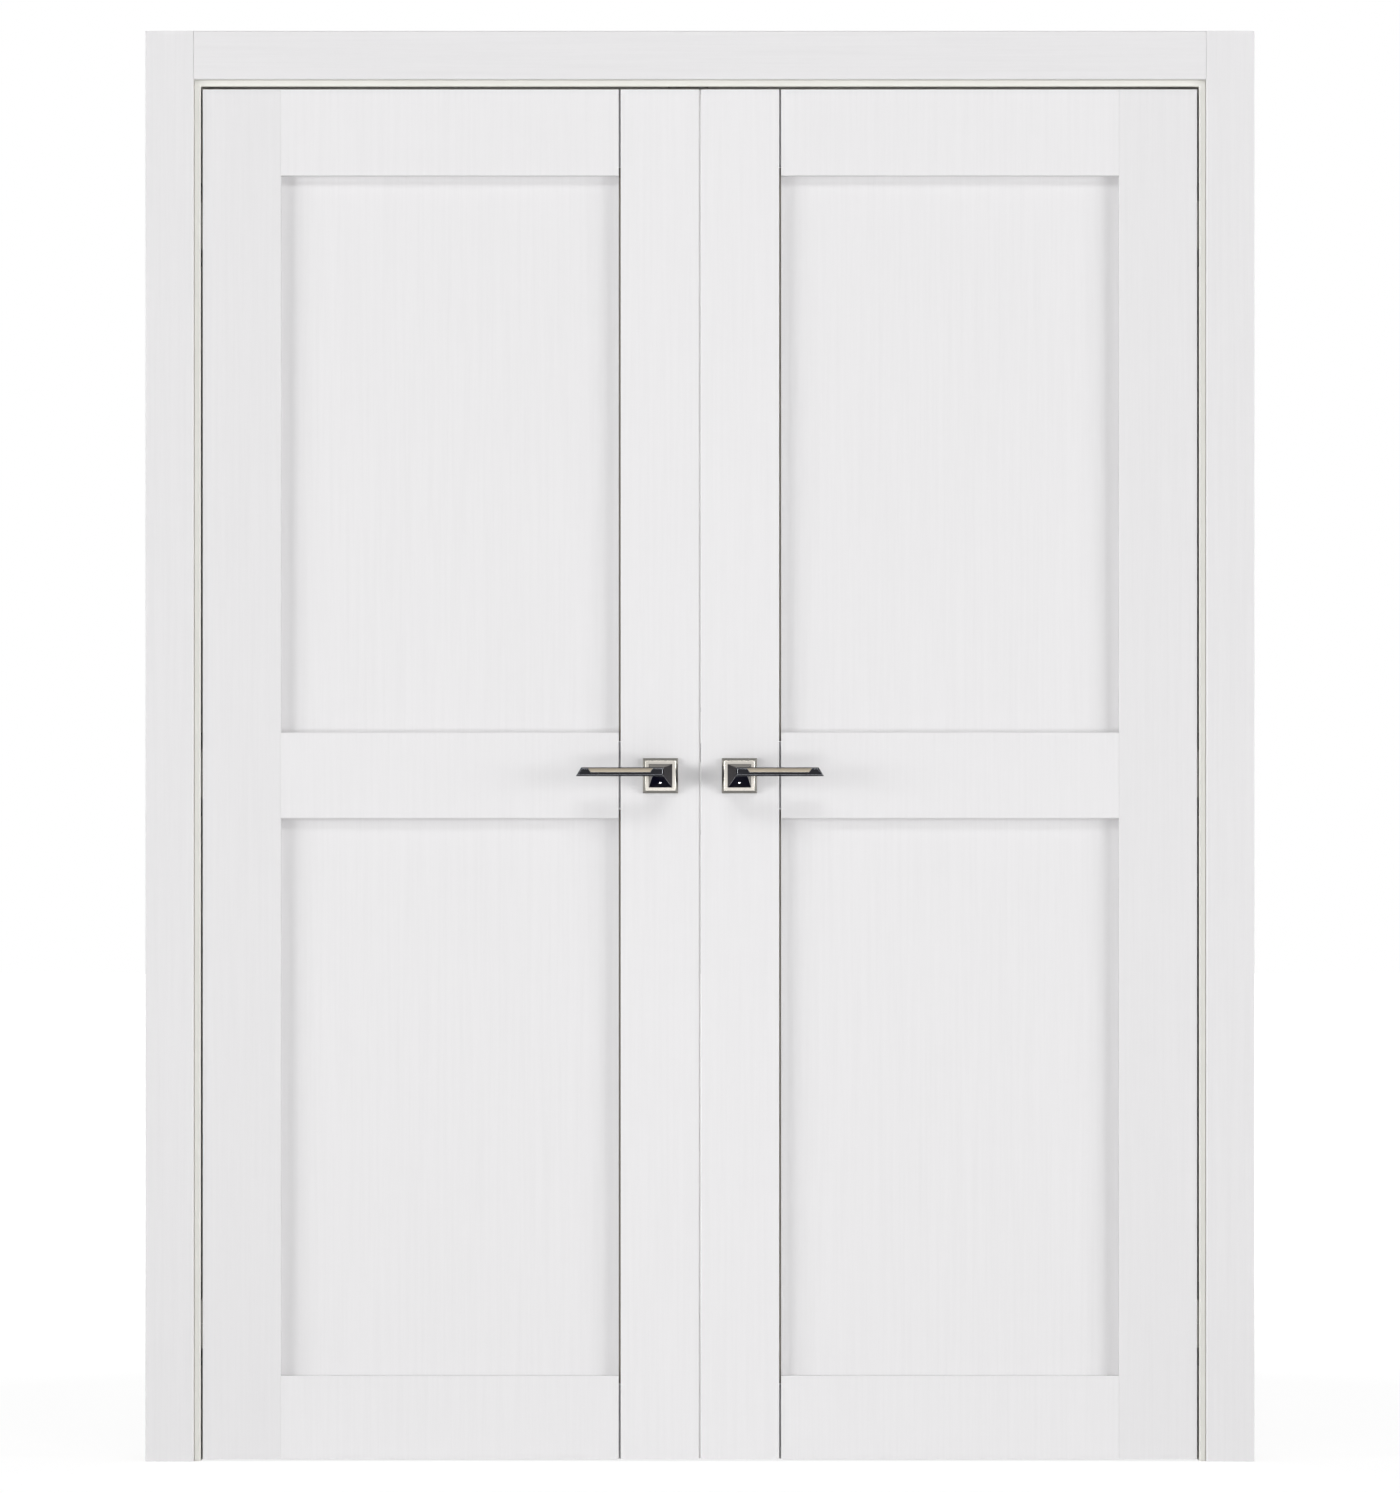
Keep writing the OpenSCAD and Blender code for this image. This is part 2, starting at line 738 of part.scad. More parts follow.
on_left() at_leaf_hinges() cup_screws();  // left_leaf_hinge_screws
on_right() at_leaf_hinges() cup_screws();  // right_leaf_hinge_screws
on_left() hinge_stile();  // left_hinge_stile
on_right() hinge_stile();  // right_hinge_stile
on_left() left_lock_stile();
on_right() right_lock_stile();
on_left() rail(top_rail_z, top_rail_h, true, false);  // left_top_rail
on_right() rail(top_rail_z, top_rail_h, true, false);  // right_top_rail
on_left() rail(mid_rail_z, mid_rail_h, true, true);  // left_mid_rail
on_right() rail(mid_rail_z, mid_rail_h, true, true);  // right_mid_rail
on_left() rail(0, bottom_rail_h, false, true);  // left_bottom_rail
on_right() rail(0, bottom_rail_h, false, true);  // right_bottom_rail
on_left() panel(upper_panel_z, upper_panel_h);  // left_upper_panel
on_right() panel(upper_panel_z, upper_panel_h);  // right_upper_panel
on_left() panel(lower_panel_z, lower_panel_h);  // left_lower_panel
on_right() panel(lower_panel_z, lower_panel_h);  // right_lower_panel
on_left() rosette();  // left_front_rosette
on_left() on_back() rosette();  // left_back_rosette
on_right() rosette();  // right_front_rosette
on_right() on_back() rosette();  // right_back_rosette
on_left() lever();  // left_front_lever
on_left() on_back() lever();  // left_back_lever
on_right() lever();  // right_front_lever
on_right() on_back() lever();  // right_back_lever
on_left() both_faces() lever_insert();  // left_lever_inserts
on_right() both_faces() lever_insert();  // right_lever_inserts
on_left() spindle();  // left_spindle
on_right() spindle();  // right_spindle
on_right() latch_case();
on_right() latch_faceplate();
on_right() latch_follower();
on_right() latch_bolt();
on_left() strike_plate();
on_left() flush_bolt_plate();  // top_flush_bolt_plate
on_left() in_leaf_flip() flush_bolt_plate();  // bottom_flush_bolt_plate
on_left() flush_bolt();  // top_flush_bolt
on_left() in_leaf_flip() flush_bolt();  // bottom_flush_bolt
on_left() head_strike_plate();
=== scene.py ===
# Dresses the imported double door: white laminate boards, plated hinges and locks, faceted lever handles,
# and the studio that it is photographed in.
import json
import math

import bpy
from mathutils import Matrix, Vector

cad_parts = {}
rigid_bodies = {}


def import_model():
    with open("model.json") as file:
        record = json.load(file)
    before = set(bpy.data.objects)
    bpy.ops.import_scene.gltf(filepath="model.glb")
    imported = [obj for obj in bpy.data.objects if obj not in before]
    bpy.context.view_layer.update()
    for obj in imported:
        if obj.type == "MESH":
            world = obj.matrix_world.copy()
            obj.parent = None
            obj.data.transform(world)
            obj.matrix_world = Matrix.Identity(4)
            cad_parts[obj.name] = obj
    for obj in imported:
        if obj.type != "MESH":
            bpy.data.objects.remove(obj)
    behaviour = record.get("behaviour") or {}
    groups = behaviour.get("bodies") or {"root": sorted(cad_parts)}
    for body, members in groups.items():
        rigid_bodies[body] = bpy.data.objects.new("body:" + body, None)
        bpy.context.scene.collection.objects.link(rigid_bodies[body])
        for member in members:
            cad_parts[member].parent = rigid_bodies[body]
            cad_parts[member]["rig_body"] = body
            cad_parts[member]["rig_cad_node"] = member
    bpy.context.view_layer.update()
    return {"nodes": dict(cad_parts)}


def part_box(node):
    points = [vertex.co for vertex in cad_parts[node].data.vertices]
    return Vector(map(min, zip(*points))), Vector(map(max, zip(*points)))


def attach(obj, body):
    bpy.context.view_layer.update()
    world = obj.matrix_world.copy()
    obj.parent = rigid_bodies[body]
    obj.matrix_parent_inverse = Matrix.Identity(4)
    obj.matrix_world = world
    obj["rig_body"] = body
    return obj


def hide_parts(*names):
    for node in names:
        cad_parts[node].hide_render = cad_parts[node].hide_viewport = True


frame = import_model()
nodes = frame["nodes"]


# Frame: side jambs, head jamb and the casings that cover the joint with the wall.
# They are boards wrapped in a satin white laminate with a faint grain printed along each board.
# The jambs are mitred and the head casing butts between the side casings.
MM = 0.001


def linear(hex_colour):
    """An sRGB hex colour as the linear values that the shader takes."""
    values = []
    for i in (1, 3, 5):
        c = int(hex_colour[i:i + 2], 16) / 255
        values.append(c / 12.92 if c <= 0.04045 else ((c + 0.055) / 1.055) ** 2.4)
    return (*values, 1.0)


def add_node(tree, kind, settings=None, inputs=None):
    """A new shader node: settings are its attributes, inputs its values or the outputs linked to it."""
    node = tree.nodes.new(kind)
    for name, value in (settings or {}).items():
        setattr(node, name, value)
    for name, value in (inputs or {}).items():
        if isinstance(value, bpy.types.NodeSocket):
            tree.links.new(value, node.inputs[name])
        else:
            node.inputs[name].default_value = value
    return node


def new_material(name):
    """An empty node material and its Principled shader."""
    material = bpy.data.materials.new(name)
    material.use_nodes = True
    return material, material.node_tree, material.node_tree.nodes["Principled BSDF"]


def dress(material, *names):
    """Gives CAD nodes a material in place of the plain one."""
    for name in names:
        nodes[name].data.materials.clear()
        nodes[name].data.materials.append(material)


def white_laminate(name, pale, shaded, along):
    """White laminate over board: a printed grain that runs along one axis, under a satin lacquer.
    The eye sees almost flat white, with faint streaks and a soft broken highlight."""
    material, tree, shader = new_material(name)
    streak_mm = 5.0
    streak_length_mm = 260.0
    pore_mm = 1.6
    pore_length_mm = 42.0
    place = add_node(tree, "ShaderNodeTexCoord").outputs["Object"]

    def stretched(across_mm, length_mm):
        scale = [1 / (across_mm * MM)] * 3
        scale[along] = 1 / (length_mm * MM)
        mapping = add_node(tree, "ShaderNodeMapping", inputs={"Vector": place, "Scale": scale})
        return mapping.outputs["Vector"]

    streaks = add_node(tree, "ShaderNodeTexNoise", inputs={
        "Vector": stretched(streak_mm, streak_length_mm), "Scale": 1.0, "Detail": 4.0, "Roughness": 0.55})
    pores = add_node(tree, "ShaderNodeTexNoise", inputs={
        "Vector": stretched(pore_mm, pore_length_mm), "Scale": 1.0, "Detail": 2.0, "Roughness": 0.6})
    both = add_node(tree, "ShaderNodeMath", {"operation": "MULTIPLY_ADD"}, {
        0: pores.outputs["Fac"], 1: 0.4, 2: streaks.outputs["Fac"]})
    ramp = add_node(tree, "ShaderNodeValToRGB", inputs={"Fac": both.outputs["Value"]})
    ramp.color_ramp.elements[0].position = 0.45
    ramp.color_ramp.elements[0].color = linear(shaded)
    ramp.color_ramp.elements[1].position = 0.85
    ramp.color_ramp.elements[1].color = linear(pale)
    gloss = add_node(tree, "ShaderNodeMapRange", inputs={
        "Value": streaks.outputs["Fac"], "To Min": 0.40, "To Max": 0.52})
    relief = add_node(tree, "ShaderNodeBump", inputs={
        "Height": both.outputs["Value"], "Strength": 0.10, "Distance": 0.2 * MM})
    tree.links.new(ramp.outputs["Color"], shader.inputs["Base Color"])
    tree.links.new(gloss.outputs["Result"], shader.inputs["Roughness"])
    tree.links.new(relief.outputs["Normal"], shader.inputs["Normal"])
    shader.inputs["IOR"].default_value = 1.48
    return material


ALONG_X = 0
ALONG_Z = 2
frame_upright = white_laminate("white laminate, upright frame boards", "#ebeaeb", "#e8e7e8", ALONG_Z)
frame_level = white_laminate("white laminate, level frame boards", "#ebeaeb", "#e8e7e8", ALONG_X)
dress(frame_upright, "front_casing_left", "front_casing_right", "back_casing_left", "back_casing_right")
dress(frame_level, "front_casing_head", "back_casing_head")

# The jambs' laminate is a touch creamier than the casings'.
jamb_upright = white_laminate("cream white laminate, side jambs", "#f5f4ee", "#f2f1ea", ALONG_Z)
jamb_level = white_laminate("cream white laminate, head jamb", "#f5f4ee", "#f2f1ea", ALONG_X)
dress(jamb_upright, "left_jamb", "right_jamb")
dress(jamb_level, "head_jamb")


# The faces that turn to the wall have no laminate, and show the board itself.
# Pressed fibre: a matt warm grey with fine flecks.
def mottled(name, dark, pale, patch_mm, detail, roughness):
    """A matt material in two near tones that cloud into each other, in patches of a given size."""
    material, tree, shader = new_material(name)
    place = add_node(tree, "ShaderNodeTexCoord").outputs["Object"]
    clouds = add_node(tree, "ShaderNodeTexNoise", inputs={
        "Vector": place, "Scale": 1 / (patch_mm * MM), "Detail": detail})
    tint = add_node(tree, "ShaderNodeMix", {"data_type": "RGBA"}, {
        "Factor": clouds.outputs["Fac"], 6: linear(dark), 7: linear(pale)})
    tree.links.new(tint.outputs[2], shader.inputs["Base Color"])
    shader.inputs["Roughness"].default_value = roughness
    shader.inputs["IOR"].default_value = 1.5
    return material


fleck_mm = 1.2
board_core_and_groove_shade = mottled("bare fibreboard core and painted groove shade", "#aca69d", "#bab4ab", fleck_mm, detail=4.0, roughness=0.85)


def cover(material, name, axis, sign):
    """Gives a material to the faces of a CAD node that look one way along an axis."""
    mesh = nodes[name].data
    if material.name not in mesh.materials:
        mesh.materials.append(material)
    slot = mesh.materials.find(material.name)
    for polygon in mesh.polygons:
        if polygon.normal[axis] * sign > 0.9:
            polygon.material_index = slot


ALONG_Y = 1
cover(board_core_and_groove_shade, "left_jamb", ALONG_X, -1)
cover(board_core_and_groove_shade, "right_jamb", ALONG_X, 1)
cover(board_core_and_groove_shade, "head_jamb", ALONG_Z, 1)
for edge in ("left", "right", "head"):
    cover(board_core_and_groove_shade, f"front_casing_{edge}", ALONG_Y, 1)
    cover(board_core_and_groove_shade, f"back_casing_{edge}", ALONG_Y, -1)


# Seals: soft hollow bulbs pressed into the slot in the jambs' rebate, for the leaves to close on.
# Extruded cream elastomer: matt, with a slight mottling where it has been handled.
mottle_mm = 6.0
seal_rubber = mottled(
    "extruded cream elastomer", "#cfcdc5", "#dbd9d2", mottle_mm, detail=3.0, roughness=0.75)
dress(seal_rubber, "left_seal", "right_seal", "head_seal")


# Concealed hinges: die-cast cups let into the jamb and the leaf's edge, with arms that swing out
# between them. Cast zinc with a matt nickel plating, slightly grainy.
hinge_plating, tree, shader = new_material("matt nickel plated zinc casting")
casting_grain_mm = 0.8
place = add_node(tree, "ShaderNodeTexCoord").outputs["Object"]
grain = add_node(tree, "ShaderNodeTexNoise", inputs={
    "Vector": place, "Scale": 1 / (casting_grain_mm * MM), "Detail": 3.0})
tint = add_node(tree, "ShaderNodeMix", {"data_type": "RGBA"}, {
    "Factor": grain.outputs["Fac"], 6: linear("#a8a6a0"), 7: linear("#bcbab4")})
tree.links.new(tint.outputs[2], shader.inputs["Base Color"])
relief = add_node(tree, "ShaderNodeBump", inputs={
    "Height": grain.outputs["Fac"], "Strength": 0.15, "Distance": 0.05 * MM})
tree.links.new(relief.outputs["Normal"], shader.inputs["Normal"])
shader.inputs["Metallic"].default_value = 1.0
shader.inputs["Roughness"].default_value = 0.38
for side in ("left", "right"):
    for board in ("jamb", "leaf"):
        dress(hinge_plating, f"{side}_{board}_hinge_cups", f"{side}_{board}_hinge_arms")


# Leaves: stiles, rails and flat panels, grooved and tenoned together.
# The rails, panels and lock stiles are painted a shade paler than the hinge stiles and casings, the lock
# stiles palest: painted light, brighter towards the meeting line.
# The printed grain runs upright over the whole leaf, across the rails too.
leaf_upright = white_laminate("white laminate, hinge stiles", "#ebeaeb", "#e8e7e8", ALONG_Z)
lock_upright_painted_light = white_laminate("white laminate, lock stiles, painted light", "#f0eff0", "#edeced", ALONG_Z)
field_upright_painted_light = white_laminate("white laminate, rails and panels, painted light", "#efeeef", "#ecebec", ALONG_Z)
for side in ("left", "right"):
    dress(leaf_upright, f"{side}_hinge_stile")
    dress(lock_upright_painted_light, f"{side}_lock_stile")
    dress(field_upright_painted_light, f"{side}_top_rail", f"{side}_mid_rail", f"{side}_bottom_rail",
          f"{side}_upper_panel", f"{side}_lower_panel")

# The edges round the panels are painted a greyer white than the faces: painted shade, which darkens the
# panel recesses and their corners.
edge_painted_shade = white_laminate("white laminate with painted shade, panel edges", "#cbcacb", "#c8c7c8", ALONG_Z)
for side, inward in (("left", 1), ("right", -1)):
    cover(edge_painted_shade, f"{side}_hinge_stile", ALONG_X, inward)
    cover(edge_painted_shade, f"{side}_lock_stile", ALONG_X, -inward)
    cover(edge_painted_shade, f"{side}_top_rail", ALONG_Z, -1)
    cover(edge_painted_shade, f"{side}_mid_rail", ALONG_Z, -1)
    cover(edge_painted_shade, f"{side}_mid_rail", ALONG_Z, 1)
    cover(edge_painted_shade, f"{side}_bottom_rail", ALONG_Z, 1)

# The shadow groove beside each lock stile is given the bare board's darker colour: painted shade, which
# darkens the groove.
groove_w = 3.0 * MM
hair = 0.1 * MM
for side in ("left", "right"):
    low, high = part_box(f"{side}_lock_stile")
    if side == "left":
        groove_low, groove_high = low.x - groove_w - hair, low.x + hair
    else:
        groove_low, groove_high = high.x - hair, high.x + groove_w + hair
    for level in ("upper", "lower"):
        mesh = nodes[f"{side}_{level}_panel"].data
        mesh.materials.append(board_core_and_groove_shade)
        for polygon in mesh.polygons:
            across = [mesh.vertices[i].co.x for i in polygon.vertices]
            if min(across) > groove_low and max(across) < groove_high:
                polygon.material_index = 1


# Meeting seal: a soft fin pressed into the left leaf's meeting edge, which closes the gap to the other
# leaf behind a shallow shadow line. Extruded white elastomer, which bends aside when the leaves open singly;
# here it is a rigid strip on the left leaf.
fin_w = 2.5 * MM
fin_back = 5.0 * MM
fin_set = 2.6 * MM
fin_end = 1.0 * MM
edge_low, edge_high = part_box("left_lock_stile")
bpy.ops.object.select_all(action="DESELECT")
bpy.ops.mesh.primitive_cube_add(size=1.0)
fin = bpy.context.active_object
fin.name = "meeting_seal"
fin.scale = (fin_w, fin_back, edge_high.z - edge_low.z - 2 * fin_end)
fin.location = (edge_high.x + fin_w / 2, fin_set + fin_back / 2, (edge_low.z + edge_high.z) / 2)
bpy.ops.object.transform_apply(location=True, rotation=True, scale=True)
round_fin = fin.modifiers.new("extruded corners", "BEVEL")
round_fin.width = 0.7 * MM
round_fin.segments = 3
bpy.ops.object.modifier_apply(modifier=round_fin.name)
bpy.ops.object.shade_smooth_by_angle(angle=math.radians(30))
fin_rubber = mottled("extruded white elastomer", "#e9e8e8", "#f0efef", mottle_mm, detail=3.0, roughness=0.65)
fin.data.materials.append(fin_rubber)
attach(fin, "left_leaf")


# Rosettes and inlays: square bevelled plates behind the levers and a strip let into each lever's bar.
# Brushed brass-bodied castings in satin nickel, a warm grey with fine upright brush lines.
def softened(node, name, width_mm, material, body, arris_highlight=None):
    """A copy of a CAD node with its arrises rounded, and a painted highlight on them if wanted, which stands
    for the node.
    """
    bpy.ops.object.select_all(action="DESELECT")
    piece = nodes[node].copy()
    piece.data = nodes[node].data.copy()
    piece.name = name
    piece.parent = None
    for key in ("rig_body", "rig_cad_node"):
        if key in piece:
            del piece[key]
    bpy.context.scene.collection.objects.link(piece)
    piece.select_set(True)
    bpy.context.view_layer.objects.active = piece
    bpy.ops.object.mode_set(mode="EDIT")
    bpy.ops.mesh.select_all(action="SELECT")
    bpy.ops.mesh.remove_doubles(threshold=0.01 * MM)
    bpy.ops.mesh.dissolve_limited(angle_limit=math.radians(1))
    bpy.ops.object.mode_set(mode="OBJECT")
    bevel = piece.modifiers.new("rounded arrises", "BEVEL")
    bevel.width = width_mm * MM
    bevel.segments = 3
    bevel.limit_method = "ANGLE"
    bevel.angle_limit = math.radians(20)
    piece.data.materials.clear()
    piece.data.materials.append(material)
    if arris_highlight:
        piece.data.materials.append(arris_highlight)
        bevel.material = 1
    bpy.ops.object.modifier_apply(modifier=bevel.name)
    bpy.ops.object.shade_smooth_by_angle(angle=math.radians(30))
    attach(piece, body)
    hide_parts(node)
    return piece


def satin_metal(name, pale, dark, roughness, along):
    """A brushed and plated metal: fine lines along one axis that spread the highlight across them.
    Real lines are finer; these are drawn coarse enough to show from close by."""
    material, tree, shader = new_material(name)
    line_mm = 0.35
    line_length_mm = 12.0
    scale = [1 / (line_mm * MM)] * 3
    scale[along] = 1 / (line_length_mm * MM)
    place = add_node(tree, "ShaderNodeTexCoord").outputs["Object"]
    across = add_node(tree, "ShaderNodeMapping", inputs={"Vector": place, "Scale": scale})
    lines = add_node(tree, "ShaderNodeTexNoise", inputs={
        "Vector": across.outputs["Vector"], "Scale": 1.0, "Detail": 3.0})
    tint = add_node(tree, "ShaderNodeMix", {"data_type": "RGBA"}, {
        "Factor": lines.outputs["Fac"], 6: linear(dark), 7: linear(pale)})
    gloss = add_node(tree, "ShaderNodeMapRange", inputs={
        "Value": lines.outputs["Fac"], "To Min": roughness - 0.06, "To Max": roughness + 0.06})
    relief = add_node(tree, "ShaderNodeBump", inputs={
        "Height": lines.outputs["Fac"], "Strength": 0.12, "Distance": 0.03 * MM})
    tree.links.new(tint.outputs[2], shader.inputs["Base Color"])
    tree.links.new(gloss.outputs["Result"], shader.inputs["Roughness"])
    tree.links.new(relief.outputs["Normal"], shader.inputs["Normal"])
    shader.inputs["Metallic"].default_value = 1.0
    return material


satin_nickel = satin_metal("satin nickel plate", "#d3cfc8", "#c4bfb7", 0.24, ALONG_Z)
# The inlays' warm grey is their own tone; they are painted darker than the plates, a painted dark
# reflection.
inlay_nickel_painted_dark = satin_metal("satin nickel inlay, painted dark reflection", "#a39a8c", "#8f8678", 0.30, ALONG_X)
rim_painted_dark_reflection = satin_metal("polished chrome rim, painted dark reflection", "#86847f", "#74726d", 0.14, ALONG_X)
for side in ("left", "right"):
    for face in ("front", "back"):
        plate = softened(f"{side}_{face}_rosette", f"{side}_{face}_rosette_plate", 0.6, satin_nickel,
                         f"{side}_leaf")
        # The rims and slopes are polished, and painted darker than the flat of the plate: a painted dark
        # reflection.
        plate.data.materials.append(rim_painted_dark_reflection)
        for polygon in plate.data.polygons:
            polygon.material_index = 1 if abs(polygon.normal.y) < 0.9 else 0
softened("left_lever_inserts", "left_lever_inlays", 0.35, inlay_nickel_painted_dark, "left_leaf")
softened("right_lever_inserts", "right_lever_inlays", 0.35, inlay_nickel_painted_dark, "lever")


# Levers: faceted castings on a square spindle, with a pyramid neck and a slanted tip.
# Polished chrome, its colour painted near black as a painted dark reflection: nearly a mirror, with a faint
# buffing haze.
chrome_painted_dark_reflection, tree, shader = new_material("polished chrome, painted dark reflection")
haze_mm = 9.0
place = add_node(tree, "ShaderNodeTexCoord").outputs["Object"]
haze = add_node(tree, "ShaderNodeTexNoise", inputs={
    "Vector": place, "Scale": 1 / (haze_mm * MM), "Detail": 2.0})
gloss = add_node(tree, "ShaderNodeMapRange", inputs={
    "Value": haze.outputs["Fac"], "To Min": 0.05, "To Max": 0.14})
tree.links.new(gloss.outputs["Result"], shader.inputs["Roughness"])
shader.inputs["Base Color"].default_value = linear("#2f2f33")
shader.inputs["Specular Tint"].default_value = linear("#a6a6aa")
shader.inputs["Metallic"].default_value = 1.0

# The arrises are given a bright chrome colour, a painted highlight that draws thin light lines along the
# facets.
arris_painted_highlight = satin_metal("chrome arrises, painted highlight", "#d9dce0", "#c6c9ce", 0.12, ALONG_X)
for side, body in (("left", "left_leaf"), ("right", "lever")):
    for face in ("front", "back"):
        softened(f"{side}_{face}_lever", f"{side}_{face}_lever_casting", 0.8, chrome_painted_dark_reflection, body,
                 arris_painted_highlight)


# Set screws: hollow-ended grub screws in the lower face of each lever's neck that grip the spindle.
# Bright turned steel, with a socket in the end that shows.
screw_r = 1.6 * MM
screw_l = 5.0 * MM
socket_r = 0.9 * MM
socket_d = 1.2 * MM
screw_from_plate = 17 * MM
slope_rise = 6.2 * MM
bright_steel = satin_metal("bright turned steel", "#f2f2f2", "#dcdcdc", 0.2, ALONG_X)
for side, body in (("left", "left_leaf"), ("right", "lever")):
    for face in ("front", "back"):
        low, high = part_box(f"{side}_{face}_lever")
        stem_low, stem_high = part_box(f"{side}_spindle")
        axis_x = (stem_low.x + stem_high.x) / 2
        out = -1 if face == "front" else 1
        plate_low, plate_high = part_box(f"{side}_{face}_rosette")
        plate_face = plate_low.y if face == "front" else plate_high.y
        axis_y = plate_face + out * screw_from_plate
        neck_slope_z = low.z + slope_rise
        bpy.ops.object.select_all(action="DESELECT")
        bpy.ops.mesh.primitive_cylinder_add(vertices=36, radius=screw_r, depth=screw_l,
                                            location=(axis_x, axis_y, neck_slope_z + screw_l / 2))
        screw = bpy.context.active_object
        screw.name = f"{side}_{face}_set_screw"
        bpy.ops.object.transform_apply(location=True, rotation=True, scale=True)
        bpy.ops.object.mode_set(mode="EDIT")
        bpy.ops.mesh.select_all(action="DESELECT")
        bpy.ops.object.mode_set(mode="OBJECT")
        for polygon in screw.data.polygons:
            polygon.select = polygon.normal.z < -0.9
        bpy.ops.object.mode_set(mode="EDIT")
        bpy.ops.mesh.inset(thickness=screw_r - socket_r)
        bpy.ops.mesh.extrude_region_move(TRANSFORM_OT_translate={"value": (0, 0, socket_d)})
        bpy.ops.mesh.select_all(action="SELECT")
        bpy.ops.mesh.normals_make_consistent(inside=False)
        bpy.ops.object.mode_set(mode="OBJECT")
        bpy.ops.object.shade_smooth_by_angle(angle=math.radians(30))
        screw.data.materials.append(bright_steel)
        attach(screw, body)


# Lock parts: spindles, latch case, follower, bolts and rods, of zinc plated steel,
# and their edge plates in a darker satin nickel than the rosettes.
zinc_plate = satin_metal("zinc plated steel", "#b4b6b8", "#9b9da0", 0.33, ALONG_Z)
plate_nickel = satin_metal("satin nickel edge plate", "#98948d", "#86827b", 0.34, ALONG_Z)
dress(zinc_plate, "left_spindle", "right_spindle", "latch_case", "latch_follower", "latch_bolt",
      "top_flush_bolt", "bottom_flush_bolt")
dress(plate_nickel, "latch_faceplate", "strike_plate", "top_flush_bolt_plate", "bottom_flush_bolt_plate",
      "head_strike_plate")


# Screws: countersunk, cross-recessed wood screws that hold the hinge cups and the edge plates.
# Rolled steel, zinc plated; one is modelled with its head at the origin and copied to each place.
head_r = 3.5 * MM
head_rise = 0.25 * MM
head_rim = 0.7 * MM
head_d = 1.5 * MM
shank_r = 1.9 * MM
recess_l = 4.4 * MM
recess_w = 1.0 * MM
recess_d = 1.1 * MM
shank_l = 22.0 * MM
bpy.ops.object.select_all(action="DESELECT")
bpy.ops.mesh.primitive_cylinder_add(vertices=32, radius=head_r, depth=head_d, location=(0, 0, -head_d / 2))
screw_master = bpy.context.active_object
screw_master.name = "screw_master"
bpy.ops.object.transform_apply(location=True, rotation=True, scale=True)
for polygon in screw_master.data.polygons:
    polygon.select = polygon.normal.z > 0.9
bpy.ops.object.mode_set(mode="EDIT")
bpy.ops.mesh.select_mode(type="FACE")
bpy.ops.mesh.inset(thickness=head_rim)
bpy.ops.transform.translate(value=(0, 0, head_rise))
bpy.ops.mesh.select_all(action="DESELECT")
bpy.ops.object.mode_set(mode="OBJECT")
for polygon in screw_master.data.polygons:
    polygon.select = polygon.normal.z < -0.9
bpy.ops.object.mode_set(mode="EDIT")
bpy.ops.mesh.inset(thickness=head_r - shank_r)
bpy.ops.mesh.extrude_region_move(TRANSFORM_OT_translate={"value": (0, 0, head_d - shank_l)})
bpy.ops.object.mode_set(mode="OBJECT")
for turn in (0, 90):
    bpy.ops.object.select_all(action="DESELECT")
    bpy.ops.mesh.primitive_cube_add(size=1.0)
    blade = bpy.context.active_object
    blade.scale = (recess_l, recess_w, 2 * recess_d)
    blade.location = (0, 0, head_rise)
    blade.rotation_euler = (0, 0, math.radians(turn))
    bpy.ops.object.transform_apply(location=True, rotation=True, scale=True)
    bpy.context.view_layer.objects.active = screw_master
    recess = screw_master.modifiers.new("cross recess", "BOOLEAN")
    recess.operation = "DIFFERENCE"
    recess.object = blade
    bpy.ops.object.modifier_apply(modifier=recess.name)
    bpy.data.objects.remove(blade)


def screws(name, places, turn, body, replaced=None):
    """Copies of the screw, their heads turned to face out, joined into one piece that rides on a body."""
    bpy.ops.object.select_all(action="DESELECT")
    for place in places:
        copy = screw_master.copy()
        copy.data = screw_master.data.copy()
        copy.location = place
        copy.rotation_euler = turn
        bpy.context.scene.collection.objects.link(copy)
        copy.select_set(True)
        bpy.context.view_layer.objects.active = copy
    bpy.ops.object.join()
    bpy.ops.object.transform_apply(location=True, rotation=True, scale=True)
    bpy.ops.object.shade_smooth_by_angle(angle=math.radians(30))
    group = bpy.context.active_object
    group.name = name
    group.data.materials.clear()
    group.data.materials.append(zinc_plate)
    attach(group, body)
    if replaced:
        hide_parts(replaced)


facing = {"+x": (0, math.radians(90), 0), "-x": (0, math.radians(-90), 0), "-z": (math.radians(180), 0, 0)}
hinge_end = 200 * MM
screw_from_middle = 54 * MM
stile_low, stile_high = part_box("left_hinge_stile")
hinge_rows = (stile_low.z + hinge_end, (stile_low.z + stile_high.z) / 2, stile_high.z - hinge_end)
for side, jamb_faces, leaf_faces in (("left", "+x", "-x"), ("right", "-x", "+x")):
    for board, faces, body in (("jamb", jamb_faces, "frame"), ("leaf", leaf_faces, f"{side}_leaf")):
        low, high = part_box(f"{side}_{board}_hinge_cups")
        face_x = high.x if faces == "+x" else low.x
        middle_y = (low.y + high.y) / 2
        places = []
        for row in hinge_rows:
            places.append((face_x, middle_y, row - screw_from_middle))
            places.append((face_x, middle_y, row + screw_from_middle))
        screws(f"{side}_{board}_hinge_wood_screws", places, facing[faces], body,
               f"{side}_{board}_hinge_screws")

